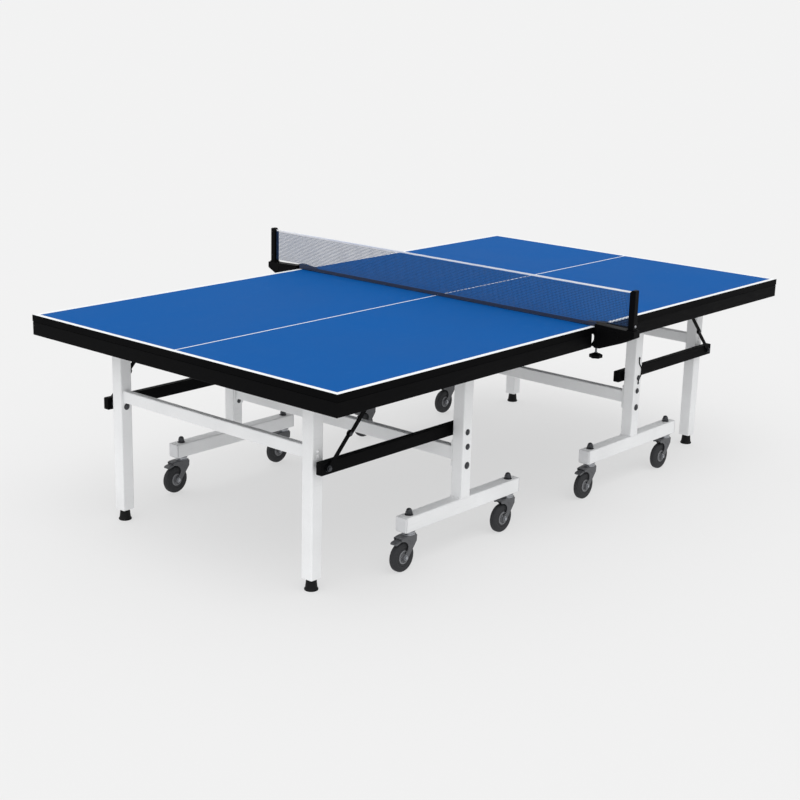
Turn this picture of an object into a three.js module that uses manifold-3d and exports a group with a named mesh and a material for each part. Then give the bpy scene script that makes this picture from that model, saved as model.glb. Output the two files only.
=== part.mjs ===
// A rollaway table tennis table: two folding halves on castered trolleys, with a clamp-on net.
// Millimetres, +Z up, +X along the table; the origin is on the floor under the middle of the net.
import * as THREE from 'three';
import { mergeVertices } from 'three/addons/utils/BufferGeometryUtils.js';
import Module from 'manifold-3d';

// Playing surface
const LENGTH = 2740;
const WIDTH = 1525;
const SURFACE_Z = 760;
const BOARD_THICKNESS = 25;
const HALF_GAP = 5;

// Steel frame under each board
const RIM_DEPTH = 50;
const RIM_WALL = 25;
const RIM_INSET = 1;
// The rim stops short of the net line, and further on the half that carries the net clamps.
const RIM_NET_INSET = { plain: 22, clamped: 46 };
const RAIL_THICKNESS = 14.7;
const RAIL_WIDTH = 40;
const STAY_RAIL_WIDTH = 30;

// Square tube of the posts, trolley feet and legs
const TUBE = 50;
const POST_X = 545;
const POST_Y = 590;
const LEG_X = 1190;
const LEG_Y = 485;
const TUBE_TOP_Z = 717;
const BASE_LENGTH = 640;
const BASE_HEIGHT = 55;
const BASE_Z = 143;
const POST_CROSSBAR = { height: 50, depth: 30, z: 355 };
const FLANGE = { width: 44, height: 96, thickness: 6 };
const LEG_CROSSBAR = { height: 45, depth: 25, z: 478 };

// Fold linkage: each top turns on its posts, and the legs stay upright on a parallelogram
const PIVOT_Z = 700;
const PIVOT_OFFSET = 48;
const PIVOT_PIN = 5.5;
const EAR_RADIUS = 13;
const EAR_THICKNESS = 4;
const EAR_GAP = 1;
const ARM_RADIUS = 15;
const LINK_Z = 440;
const LINK_HEIGHT = 44;
const LINK_THICKNESS = 25;
const LINK_Y = 530;
const LINK_TAIL = 50;
const LINK_NOSE = 30;
const LINK_PIN = 6;
const COLLAR_RADIUS = 11;

// Elbow stays that lock the fold, as points on the right half
const STAY_FOOT = new THREE.Vector2(LEG_X, LINK_Z);
const STAY_ELBOW = new THREE.Vector2(1095.8, 538.1);
const STAY_HEAD = new THREE.Vector2(950, 690);
const STAY_RADIUS = 8;
const STAY_END_RADIUS = 12;
const STAY_THICKNESS = 4;
const STAY_LOWER_Y = 557;
const STAY_UPPER_Y = 563;
const STAY_LUG_Y = 568.5;
const LUG_RADIUS = 11;
const STAY_PIN = 4;

// Levelling feet
const FOOT_HEIGHT = 41.6;
const FOOT_RADIUS = 24;
const FOOT_PAD_TOP = 7;
const FOOT_NECK = 18;
const FOOT_NECK_Z = 36;
const FOOT_STEM = 5;
const FOOT_STEM_LENGTH = 35;
const FOOT_BORE_SPARE = 10;

// Casters
const CASTER_SPREAD = 278;
const WHEEL_RADIUS = 54;
const WHEEL_HALF_WIDTH = 13;
const WHEEL_FLAT_RADIUS = 41;
const WHEEL_CHAMFER = 6;
const AXLE_RADIUS = 5;
const CASTER_TRAIL = 34;
const FORK_INNER = 15.5;
const FORK_PLATE = 3;
const STEM_RADIUS = 8;
const STEM_LENGTH = 11.5;
const RACE_RADIUS = 21;
const CROWN_Z = [123, 129];
const CROWN_LENGTH = 44;
const CHEEK_FRONT_Z = 111;
const AXLE_BOSS = 13;
const PEDAL_GAP = 2;
const BRAKE_PEDAL = [
  [-14, 121],
  [-42, 120.5],
  [-76, 111.5],
  [-79, 106.5],
  [-74, 104],
  [-42, 114],
  [-14, 114],
];

// Net set
const NET_TOP_Z = 912;
const NET_POST_Y = 915;
const NET_POST_SIZE = 24;
const NET_POST_BASE_Z = 770.4;
const NET_POST_CAP = 5;
const NET_POST_SLOPE = 9;
const NET_THICKNESS = 2;
const NET_RAISED_Z = 776;
const CLAMP_X = [4, 44];
const CLAMP_ARM_WIDTH = 40;
const CLAMP_BOTTOM = 682;
const ARM_BOTTOM = 684;
const CLAMP_LIP = 691;
// The jaw and the arm of a net clamp, as [distance from the centreline, height].
const CLAMP_JAW = [
  [690, 760.6],
  [702, 768],
  [766, 774],
  [790, 774],
  [790, CLAMP_BOTTOM],
  [738, CLAMP_BOTTOM],
  [738, CLAMP_LIP],
  [764.5, CLAMP_LIP],
  [764.5, 760.6],
];
const CLAMP_ARM = [
  [766, 774],
  [880, 770],
  [936, 770],
  [936, 744],
  [884, 719],
  [812, 692],
  [790, ARM_BOTTOM],
  [766, ARM_BOTTOM],
];
const CLAMP_SCREW = { x: 24, y: 751 };
const SCREW_RADIUS = 4;
// Knob, thread and pressure pad, as [radius, height].
const SCREW_PROFILE = [
  [0, 637],
  [21, 637],
  [25, 642],
  [25, 650],
  [21, 655],
  [7, 657],
  [SCREW_RADIUS, 660],
  [SCREW_RADIUS, 729],
  [9, 730],
  [9, 734.5],
  [0, 734.5],
];

const CLEARANCE = 0.4;
const HOLE_SLACK = 0.7;
// How far a welded piece runs into its neighbour, and a cutting tool past what it cuts.
const BITE = 1;
const PAST = 8;
const HALVES = [{ name: 'left', side: -1 }, { name: 'right', side: 1 }];
const EDGES = [{ name: 'near', edge: -1 }, { name: 'far', edge: 1 }];
const BOARD_UNDERSIDE = SURFACE_Z - BOARD_THICKNESS;
const RIM_TOP = BOARD_UNDERSIDE - 0.3;
const RIM_BOTTOM = BOARD_UNDERSIDE - RIM_DEPTH;

const wasm = await Module();
wasm.setup();

function paint(color, roughness, metalness) {
  return new THREE.MeshStandardMaterial({ color, roughness, metalness });
}

const MATERIALS = {
  surface: paint(0x1f5fa8, 0.55, 0),
  blackSteel: paint(0x0b0b0c, 0.45, 0.3),
  whiteSteel: paint(0xe6e6e6, 0.4, 0.2),
  forkPlastic: paint(0x2c2d30, 0.5, 0.1),
  tyre: paint(0x35373b, 0.8, 0),
  footPlastic: paint(0x101011, 0.7, 0),
  netCloth: paint(0x8c8d90, 0.9, 0),
  netSteel: paint(0x0d0d0e, 0.5, 0.2),
};

// Solids -------------------------------------------------------------------------------------

function toSolid(geometry) {
  const bare = geometry.clone();
  bare.deleteAttribute('normal');
  bare.deleteAttribute('uv');
  const merged = mergeVertices(bare, 1e-3);
  return new wasm.Manifold(new wasm.Mesh({
    numProp: 3,
    vertProperties: Float32Array.from(merged.attributes.position.array),
    triVerts: Uint32Array.from(merged.index.array),
  }));
}

function toGeometry(solid) {
  const { vertProperties, triVerts } = solid.getMesh();
  const geometry = new THREE.BufferGeometry();
  geometry.setAttribute('position', new THREE.BufferAttribute(vertProperties, 3));
  geometry.setIndex(new THREE.BufferAttribute(triVerts, 1));
  geometry.computeVertexNormals();
  return geometry;
}

function join(...pieces) {
  return toGeometry(pieces.map(toSolid).reduce((whole, piece) => whole.add(piece)));
}

function cut(body, ...tools) {
  return toGeometry(tools.map(toSolid).reduce((whole, tool) => whole.subtract(tool), toSolid(body)));
}

function block([x0, x1], [y0, y1], [z0, z1]) {
  const geometry = new THREE.BoxGeometry(Math.abs(x1 - x0), Math.abs(y1 - y0), Math.abs(z1 - z0));
  return geometry.translate((x0 + x1) / 2, (y0 + y1) / 2, (z0 + z1) / 2);
}

function rodY(radius, x, z, [y0, y1], segments = 10) {
  const geometry = new THREE.CylinderGeometry(radius, radius, Math.abs(y1 - y0), segments);
  return geometry.translate(x, (y0 + y1) / 2, z);
}

function rodZ(radius, x, y, [z0, z1], segments = 10) {
  const geometry = new THREE.CylinderGeometry(radius, radius, Math.abs(z1 - z0), segments);
  return geometry.rotateX(Math.PI / 2).translate(x, y, (z0 + z1) / 2);
}

// A shape drawn in X and Z, with its thickness along Y.
function plateXZ(shape, [y0, y1], curveSegments = 4) {
  const depth = Math.abs(y1 - y0);
  const geometry = new THREE.ExtrudeGeometry(shape, { depth, bevelEnabled: false, curveSegments });
  return geometry.rotateX(Math.PI / 2).translate(0, Math.max(y0, y1), 0);
}

// A shape drawn in Y and Z, with its thickness along X.
function plateYZ(shape, [x0, x1]) {
  const depth = Math.abs(x1 - x0);
  const geometry = new THREE.ExtrudeGeometry(shape, { depth, bevelEnabled: false });
  return geometry.rotateX(Math.PI / 2).rotateZ(Math.PI / 2).translate(Math.min(x0, x1), 0, 0);
}

function outline(points) {
  return new THREE.Shape(points.map(([u, v]) => new THREE.Vector2(u, v)));
}

// A bar outline with round ends about two points.
function roundBar(from, to, radius) {
  const angle = Math.atan2(to.y - from.y, to.x - from.x);
  const shape = new THREE.Shape();
  shape.absarc(to.x, to.y, radius, angle - Math.PI / 2, angle + Math.PI / 2);
  shape.absarc(from.x, from.y, radius, angle + Math.PI / 2, angle + 1.5 * Math.PI);
  shape.closePath();
  return shape;
}

function mesh(name, geometry, material, position = [0, 0, 0]) {
  const item = new THREE.Mesh(geometry, material);
  item.name = name;
  item.position.set(...position);
  return item;
}

const span = (centre, width) => [centre - width / 2, centre + width / 2];

// Tops ---------------------------------------------------------------------------------------

function board(side) {
  const xs = [side * HALF_GAP / 2, side * LENGTH / 2];
  return block(xs, span(0, WIDTH), [BOARD_UNDERSIDE, SURFACE_Z]);
}

// Two ears hang from a rail on each side of a tube and hold its pivot pin.
function ears(pivotX, tubeY) {
  const pivot = new THREE.Vector2(pivotX, PIVOT_Z);
  const shape = roundBar(pivot, new THREE.Vector2(pivotX, RIM_TOP - EAR_RADIUS), EAR_RADIUS);
  const reach = TUBE / 2 + EAR_GAP;
  return [
    plateXZ(shape, [tubeY + reach, tubeY + reach + EAR_THICKNESS]),
    plateXZ(shape, [tubeY - reach - EAR_THICKNESS, tubeY - reach]),
  ];
}

function stayLug(side, edge) {
  const foot = new THREE.Vector2(side * STAY_HEAD.x, STAY_HEAD.y);
  const top = new THREE.Vector2(foot.x, RIM_TOP - LUG_RADIUS);
  return plateXZ(roundBar(foot, top, LUG_RADIUS), [edge * STAY_LUG_Y, edge * (STAY_LUG_Y + STAY_THICKNESS)]);
}

// A deep rim on three sides and a shallow rail along the net, with cross rails, ears and lugs.
function topFrame(side) {
  const netInset = side > 0 ? RIM_NET_INSET.clamped : RIM_NET_INSET.plain;
  const inner = side * (HALF_GAP / 2 + netInset);
  const outer = side * (LENGTH / 2 - RIM_INSET);
  const halfWidth = WIDTH / 2 - RIM_INSET;
  const rim = cut(
    block([inner, outer], [-halfWidth, halfWidth], [RIM_BOTTOM, RIM_TOP]),
    block(
      [inner + side * RIM_WALL, outer - side * RIM_WALL],
      [RIM_WALL - halfWidth, halfWidth - RIM_WALL],
      [RIM_BOTTOM - PAST, RIM_TOP + PAST],
    ),
    block(
      [inner - side * PAST, inner + side * (RIM_WALL + PAST)],
      [RIM_WALL - halfWidth, halfWidth - RIM_WALL],
      [RIM_BOTTOM - PAST, RIM_TOP - RAIL_THICKNESS],
    ),
  );
  const railZ = [RIM_TOP - RAIL_THICKNESS, RIM_TOP];
  const railY = span(0, WIDTH - RIM_WALL);
  const postPivot = side * (POST_X - PIVOT_OFFSET);
  const legPivot = side * (LEG_X - PIVOT_OFFSET);
  const parts = [
    rim,
    block(span(postPivot, RAIL_WIDTH), railY, railZ),
    block(span(legPivot, RAIL_WIDTH), railY, railZ),
    block(span(side * STAY_HEAD.x, STAY_RAIL_WIDTH), railY, railZ),
  ];
  const holes = [];
  for (const { edge } of EDGES) {
    parts.push(...ears(postPivot, edge * POST_Y), ...ears(legPivot, edge * LEG_Y), stayLug(side, edge));
    const holeY = (centre, reach) => [edge * (centre - reach), edge * (centre + reach)];
    holes.push(
      rodY(PIVOT_PIN + HOLE_SLACK, postPivot, PIVOT_Z, holeY(POST_Y, TUBE / 2 + PAST)),
      rodY(PIVOT_PIN + HOLE_SLACK, legPivot, PIVOT_Z, holeY(LEG_Y, TUBE / 2 + PAST)),
      rodY(STAY_PIN + HOLE_SLACK, side * STAY_HEAD.x, STAY_HEAD.y, holeY(STAY_LUG_Y, PAST)),
    );
  }
  return cut(join(...parts), ...holes);
}

// Trolley ------------------------------------------------------------------------------------

// The knuckle at the head of a post or leg, reaching towards the net, with its pivot pin.
function pivotArm(side) {
  const pivot = new THREE.Vector2(-side * PIVOT_OFFSET, PIVOT_Z);
  const head = new THREE.Vector2(0, PIVOT_Z);
  const pinLength = TUBE + 2 * (EAR_GAP + EAR_THICKNESS + BITE);
  return [
    plateXZ(roundBar(pivot, head, ARM_RADIUS), span(0, TUBE)),
    rodY(PIVOT_PIN, pivot.x, pivot.y, span(0, pinLength)),
  ];
}

// A welded post and castered foot, about the post's own axis.
function tFrame(side, edge) {
  const inward = -edge;
  const baseTop = BASE_Z + BASE_HEIGHT;
  const start = inward * (TUBE / 2 - BITE);
  const linkFar = inward * (POST_Y - LINK_Y + BITE);
  const linkNear = inward * (POST_Y - LINK_Y - LINK_THICKNESS - CLEARANCE);
  const stemZ = [BASE_Z - STEM_LENGTH, BASE_Z + BITE];
  return join(
    block(span(0, TUBE), span(0, TUBE), [baseTop - BITE, TUBE_TOP_Z]),
    block(span(0, BASE_LENGTH), span(0, TUBE), [BASE_Z, baseTop]),
    ...pivotArm(side),
    rodY(LINK_PIN, 0, LINK_Z, [start, linkFar]),
    rodY(COLLAR_RADIUS, 0, LINK_Z, [start, linkNear]),
    rodZ(STEM_RADIUS, -CASTER_SPREAD, 0, stemZ),
    rodZ(STEM_RADIUS, CASTER_SPREAD, 0, stemZ),
  );
}

function postCrossbar() {
  const half = POST_Y - TUBE / 2 - CLEARANCE;
  const { height, depth, z } = POST_CROSSBAR;
  const flange = (edge) => block(
    span(0, FLANGE.width),
    [edge * half, edge * (half - FLANGE.thickness)],
    span(z, FLANGE.height),
  );
  const bar = block(span(0, depth), [-half + BITE, half - BITE], span(z, height));
  return join(bar, flange(-1), flange(1));
}

// Legs ---------------------------------------------------------------------------------------

// A leg about its own axis, with the pivot arm at its head and the pin of its link bar and stay.
function leg(side, edge) {
  const start = edge * (TUBE / 2 - BITE);
  const linkFar = edge * (STAY_LOWER_Y + STAY_THICKNESS - LEG_Y + BITE);
  const linkNear = edge * (LINK_Y - LEG_Y - CLEARANCE);
  const tube = join(
    block(span(0, TUBE), span(0, TUBE), [FOOT_HEIGHT + CLEARANCE, TUBE_TOP_Z]),
    ...pivotArm(side),
    rodY(LINK_PIN, 0, LINK_Z, [start, linkFar]),
    rodY(COLLAR_RADIUS, 0, LINK_Z, [start, linkNear]),
  );
  const bore = [FOOT_HEIGHT - PAST, FOOT_HEIGHT + FOOT_STEM_LENGTH + FOOT_BORE_SPARE];
  return cut(tube, rodZ(FOOT_STEM + HOLE_SLACK, 0, 0, bore));
}

function legCrossbar() {
  const half = LEG_Y - TUBE / 2 - CLEARANCE;
  const { height, depth, z } = LEG_CROSSBAR;
  return block(span(0, depth), [-half, half], span(z, height));
}

function foot() {
  const profile = [
    [0, 0],
    [FOOT_RADIUS, 0],
    [FOOT_RADIUS, FOOT_PAD_TOP],
    [FOOT_NECK, FOOT_NECK_Z],
    [FOOT_NECK, FOOT_HEIGHT],
    [FOOT_STEM, FOOT_HEIGHT],
    [FOOT_STEM, FOOT_HEIGHT + FOOT_STEM_LENGTH],
    [0, FOOT_HEIGHT + FOOT_STEM_LENGTH],
  ].map(([radius, z]) => new THREE.Vector2(radius, z));
  return new THREE.LatheGeometry(profile, 12).rotateX(Math.PI / 2);
}

// Fold linkage -------------------------------------------------------------------------------

function linkBar(side, edge) {
  const bar = block(
    [side * (POST_X - LINK_TAIL), side * (LEG_X + LINK_NOSE)],
    [edge * LINK_Y, edge * (LINK_Y + LINK_THICKNESS)],
    span(LINK_Z, LINK_HEIGHT),
  );
  const through = [edge * (LINK_Y - PAST), edge * (LINK_Y + LINK_THICKNESS + PAST)];
  return cut(
    bar,
    rodY(LINK_PIN + HOLE_SLACK, side * POST_X, LINK_Z, through),
    rodY(LINK_PIN + HOLE_SLACK, side * LEG_X, LINK_Z, through),
  );
}

function onSide(point, side) {
  return new THREE.Vector2(side * point.x, point.y);
}

function lowerStay(side, edge) {
  const ys = [edge * STAY_LOWER_Y, edge * (STAY_LOWER_Y + STAY_THICKNESS)];
  const base = onSide(STAY_FOOT, side);
  const elbow = onSide(STAY_ELBOW, side);
  const body = join(
    plateXZ(roundBar(base, elbow, STAY_RADIUS), ys),
    rodY(STAY_END_RADIUS, base.x, base.y, ys),
    rodY(STAY_END_RADIUS, elbow.x, elbow.y, ys),
  );
  const through = [edge * (STAY_LOWER_Y - PAST), edge * (STAY_LOWER_Y + STAY_THICKNESS + PAST)];
  return cut(body, rodY(LINK_PIN + HOLE_SLACK, base.x, base.y, through));
}

function upperStay(side, edge) {
  const head = onSide(STAY_HEAD, side);
  const outerFace = STAY_UPPER_Y + STAY_THICKNESS;
  return join(
    plateXZ(
      roundBar(onSide(STAY_ELBOW, side), head, STAY_RADIUS),
      [edge * STAY_UPPER_Y, edge * outerFace],
    ),
    rodY(
      STAY_PIN,
      head.x,
      head.y,
      [edge * (outerFace - BITE), edge * (STAY_LUG_Y + STAY_THICKNESS + CLEARANCE)],
    ),
  );
}

// Casters ------------------------------------------------------------------------------------

// The fork turns on the stem at the local origin, and the wheel trails towards -X.
function fork() {
  const front = CROWN_LENGTH / 2;
  const cheekTop = CROWN_Z[1] - 2 * BITE;
  const cheek = new THREE.Shape();
  cheek.moveTo(-front, cheekTop);
  cheek.lineTo(-CASTER_TRAIL - AXLE_BOSS, WHEEL_RADIUS);
  cheek.absarc(-CASTER_TRAIL, WHEEL_RADIUS, AXLE_BOSS, Math.PI, 2 * Math.PI);
  cheek.lineTo(front, CHEEK_FRONT_Z);
  cheek.lineTo(front, cheekTop);
  cheek.closePath();
  const outer = FORK_INNER + FORK_PLATE;
  const stub = WHEEL_HALF_WIDTH + CLEARANCE;
  const end = outer + 2 * BITE;
  const body = join(
    rodZ(RACE_RADIUS, 0, 0, [CROWN_Z[1] - BITE, BASE_Z - CLEARANCE], 12),
    block(span(0, CROWN_LENGTH), [-outer, outer], CROWN_Z),
    plateXZ(cheek, [FORK_INNER, outer]),
    plateXZ(cheek, [-outer, -FORK_INNER]),
    rodY(AXLE_RADIUS, -CASTER_TRAIL, WHEEL_RADIUS, [stub, end]),
    rodY(AXLE_RADIUS, -CASTER_TRAIL, WHEEL_RADIUS, [-end, -stub]),
  );
  const bore = [BASE_Z - STEM_LENGTH - CLEARANCE, BASE_Z + PAST];
  return cut(body, rodZ(STEM_RADIUS + HOLE_SLACK, 0, 0, bore));
}

function wheel() {
  const half = WHEEL_HALF_WIDTH;
  const profile = [
    [0, -half],
    [WHEEL_FLAT_RADIUS, -half],
    [WHEEL_RADIUS, WHEEL_CHAMFER - half],
    [WHEEL_RADIUS, half - WHEEL_CHAMFER],
    [WHEEL_FLAT_RADIUS, half],
    [0, half],
  ].map(([radius, y]) => new THREE.Vector2(radius, y));
  return new THREE.LatheGeometry(profile, 16);
}

function brakePedal() {
  const half = FORK_INNER - PEDAL_GAP;
  return plateXZ(outline(BRAKE_PEDAL), [-half, half]);
}

function caster(prefix, hasBrake) {
  const group = new THREE.Group();
  group.add(mesh(`${prefix}_fork`, fork(), MATERIALS.forkPlastic));
  group.add(mesh(`${prefix}_wheel`, wheel(), MATERIALS.tyre, [-CASTER_TRAIL, 0, WHEEL_RADIUS]));
  if (hasBrake) group.add(mesh(`${prefix}_brake_pedal`, brakePedal(), MATERIALS.forkPlastic));
  return group;
}

// Net set ------------------------------------------------------------------------------------

// A C-shaped jaw grips the board of the right half, and an arm carries the post outside the edge.
function netClamp(edge) {
  const onEdge = (points) => outline(points.map(([y, z]) => [edge * y, z]));
  const body = join(
    plateYZ(onEdge(CLAMP_JAW), CLAMP_X),
    plateYZ(onEdge(CLAMP_ARM), span(0, CLAMP_ARM_WIDTH)),
  );
  const bore = [CLAMP_BOTTOM - PAST, CLAMP_LIP + PAST];
  return cut(body, rodZ(SCREW_RADIUS + BITE, CLAMP_SCREW.x, edge * CLAMP_SCREW.y, bore));
}

function clampScrew() {
  const profile = SCREW_PROFILE.map(([radius, z]) => new THREE.Vector2(radius, z));
  return new THREE.LatheGeometry(profile, 10).rotateX(Math.PI / 2);
}

function netPost(edge) {
  const inner = NET_POST_Y - NET_POST_SIZE / 2;
  const outer = NET_POST_Y + NET_POST_SIZE / 2;
  const top = NET_TOP_Z + NET_POST_CAP;
  const shape = outline([
    [edge * inner, NET_POST_BASE_Z],
    [edge * outer, NET_POST_BASE_Z],
    [edge * outer, top],
    [edge * (inner + NET_POST_SLOPE), top],
    [edge * inner, top - NET_POST_SLOPE],
  ]);
  return plateYZ(shape, span(0, NET_POST_SIZE));
}

function net() {
  const end = NET_POST_Y - NET_POST_SIZE / 2 - CLEARANCE;
  const step = WIDTH / 2 + NET_THICKNESS;
  const low = SURFACE_Z + NET_THICKNESS;
  return plateYZ(outline([
    [-end, NET_RAISED_Z],
    [-step, NET_RAISED_Z],
    [-step, low],
    [step, low],
    [step, NET_RAISED_Z],
    [end, NET_RAISED_Z],
    [end, NET_TOP_Z],
    [-end, NET_TOP_Z],
  ]), span(0, NET_THICKNESS));
}

// Assembly -----------------------------------------------------------------------------------

function makeHalf({ name: half, side }) {
  const group = new THREE.Group();
  group.add(mesh(`${half}_board`, board(side), MATERIALS.surface));
  group.add(mesh(`${half}_top_frame`, topFrame(side), MATERIALS.blackSteel));
  group.add(mesh(`${half}_post_crossbar`, postCrossbar(), MATERIALS.whiteSteel, [side * POST_X, 0, 0]));
  group.add(mesh(`${half}_leg_crossbar`, legCrossbar(), MATERIALS.whiteSteel, [side * LEG_X, 0, 0]));
  for (const { name: row, edge } of EDGES) {
    const prefix = `${half}_${row}`;
    const trolley = new THREE.Group();
    trolley.position.set(side * POST_X, edge * POST_Y, 0);
    trolley.add(mesh(`${prefix}_t_frame`, tFrame(side, edge), MATERIALS.whiteSteel));
    for (const [place, direction] of [['inner', -side], ['outer', side]]) {
      const unit = caster(`${prefix}_${place}`, direction < 0);
      unit.position.x = direction * CASTER_SPREAD;
      trolley.add(unit);
    }
    group.add(trolley);
    const legPlace = [side * LEG_X, edge * LEG_Y, 0];
    group.add(mesh(`${prefix}_leg`, leg(side, edge), MATERIALS.whiteSteel, legPlace));
    group.add(mesh(`${prefix}_foot`, foot(), MATERIALS.footPlastic, legPlace));
    group.add(mesh(`${prefix}_link_bar`, linkBar(side, edge), MATERIALS.blackSteel));
    group.add(mesh(`${prefix}_lower_stay`, lowerStay(side, edge), MATERIALS.blackSteel));
    group.add(mesh(`${prefix}_upper_stay`, upperStay(side, edge), MATERIALS.blackSteel));
  }
  return group;
}

function makeNetSet() {
  const group = new THREE.Group();
  group.add(mesh('net', net(), MATERIALS.netCloth));
  for (const { name: row, edge } of EDGES) {
    group.add(mesh(`${row}_net_clamp`, netClamp(edge), MATERIALS.netSteel));
    group.add(mesh(`${row}_net_post`, netPost(edge), MATERIALS.netSteel));
    const place = [CLAMP_SCREW.x, edge * CLAMP_SCREW.y, 0];
    group.add(mesh(`${row}_clamp_screw`, clampScrew(), MATERIALS.netSteel, place));
  }
  return group;
}

const table = new THREE.Group();
for (const half of HALVES) table.add(makeHalf(half));
table.add(makeNetSet());

export default table;
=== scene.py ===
"""Looks for the rollaway table tennis table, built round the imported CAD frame."""

import math

import bmesh
import bpy
from mathutils import Matrix, Vector, noise


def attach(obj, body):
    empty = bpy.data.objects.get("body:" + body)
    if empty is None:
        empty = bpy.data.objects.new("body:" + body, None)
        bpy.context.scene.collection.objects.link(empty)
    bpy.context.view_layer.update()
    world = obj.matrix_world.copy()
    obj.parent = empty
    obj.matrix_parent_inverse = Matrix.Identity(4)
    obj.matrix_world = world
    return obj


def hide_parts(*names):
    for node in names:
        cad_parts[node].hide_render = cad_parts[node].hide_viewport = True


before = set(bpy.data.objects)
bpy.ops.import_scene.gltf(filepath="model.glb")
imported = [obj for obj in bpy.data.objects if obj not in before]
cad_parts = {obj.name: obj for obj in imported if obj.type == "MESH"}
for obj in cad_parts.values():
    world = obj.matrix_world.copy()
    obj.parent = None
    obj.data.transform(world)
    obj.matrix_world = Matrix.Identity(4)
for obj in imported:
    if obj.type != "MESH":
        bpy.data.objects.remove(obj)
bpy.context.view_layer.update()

# Millimetres, as in the CAD model. Local x runs outwards from the net and local y outwards
# from the table's centreline, so each piece is written once and mirrored by side and edge.
MM = 0.001
HALVES = {"left": -1, "right": 1}
ROWS = {"near": -1, "far": 1}
TUBE = 50
TUBE_CORNER = 5
POST = Vector((545, 590))
LEG = Vector((1190, 485))
PIVOT_Z = 700
PIVOT_OFFSET = 48
LINK_Z = 440
LINK_Y = (530, 555)
CASTER_SPREAD = 278
CASTER_TRAIL = 34
AXLE_Z = 54
TUBE_TOP = 717
BASE_Z = (143, 198)
BASE_HALF = 320
RIM_Z = (685, 734.7)
RIM_NET_END = {-1: 24.5, 1: 48.5}  # the net clamps need room on the right half
RAIL_DEPTH = 14.7
STAY_Y = 557
STAY_HEAD_X = 950
CROWN_Z = 123
CROSSBAR_BOLTS = (317, 386)
POST_BAR_Z = (330, 380)
LEG_BAR_Z = (455.5, 500.5)


# Shapes -----------------------------------------------------------------------------------


def rounded(points, radius, steps=4):
    """A closed outline with its corners rounded: radius is one number, or one per corner."""
    points = [Vector(p) for p in points]
    radii = radius if isinstance(radius, (list, tuple)) else [radius] * len(points)
    out = []
    for i, p in enumerate(points):
        before, after = points[i - 1], points[(i + 1) % len(points)]
        if radii[i] <= 0:
            out.append(p)
            continue
        u, v = (before - p).normalized(), (after - p).normalized()
        half = u.angle(v) / 2
        reach = 0.49 * min((before - p).length, (after - p).length)
        reach = min(radii[i] / math.tan(half), reach)
        r = reach * math.tan(half)
        centre = p + (u + v).normalized() * (r / math.sin(half))
        first = (p + u * reach - centre).normalized()
        last = (p + v * reach - centre).normalized()
        out += [centre + first.slerp(last, k / steps) * r for k in range(steps + 1)]
    return out


def rectangle(u, v, radius, steps=4):
    """A rounded rectangle between two values of u and two of v."""
    return rounded([(u[0], v[0]), (u[1], v[0]), (u[1], v[1]), (u[0], v[1])], radius, steps)


def circle(radius, sides, centre=(0, 0)):
    """A regular outline about a centre."""
    turns = [2 * math.pi * k / sides for k in range(sides)]
    return [
        Vector((centre[0] + radius * math.cos(a), centre[1] + radius * math.sin(a)))
        for a in turns
    ]


def bar_outline(start, end, radius, steps=10):
    """The outline of a bar with round ends about two points."""
    start, end = Vector(start), Vector(end)
    along = (end - start).normalized()
    across = Vector((-along.y, along.x))
    out = []
    for centre, direction in ((end, along), (start, -along)):
        side = across if centre is start else -across
        for k in range(steps + 1):
            a = math.pi * k / steps
            out.append(centre + (side * math.cos(a) + direction * math.sin(a)) * radius)
    return out


def signed_area(points):
    """Positive when the outline runs counter-clockwise."""
    return sum(points[i - 1].cross(p) for i, p in enumerate(points)) / 2


def inset(points, distance):
    """A counter-clockwise outline moved inwards."""
    out = []
    for i, p in enumerate(points):
        before = (p - points[i - 1]).normalized()
        after = (points[(i + 1) % len(points)] - p).normalized()
        n0, n1 = Vector((-before.y, before.x)), Vector((-after.y, after.x))
        out.append(p + (n0 + n1) * (distance / max(1 + n0.dot(n1), 0.3)))
    return out


AXES = {
    "X": lambda u, v, w: Vector((w, u, v)),
    "Y": lambda u, v, w: Vector((u, w, v)),
    "Z": lambda u, v, w: Vector((u, v, w)),
}


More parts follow.
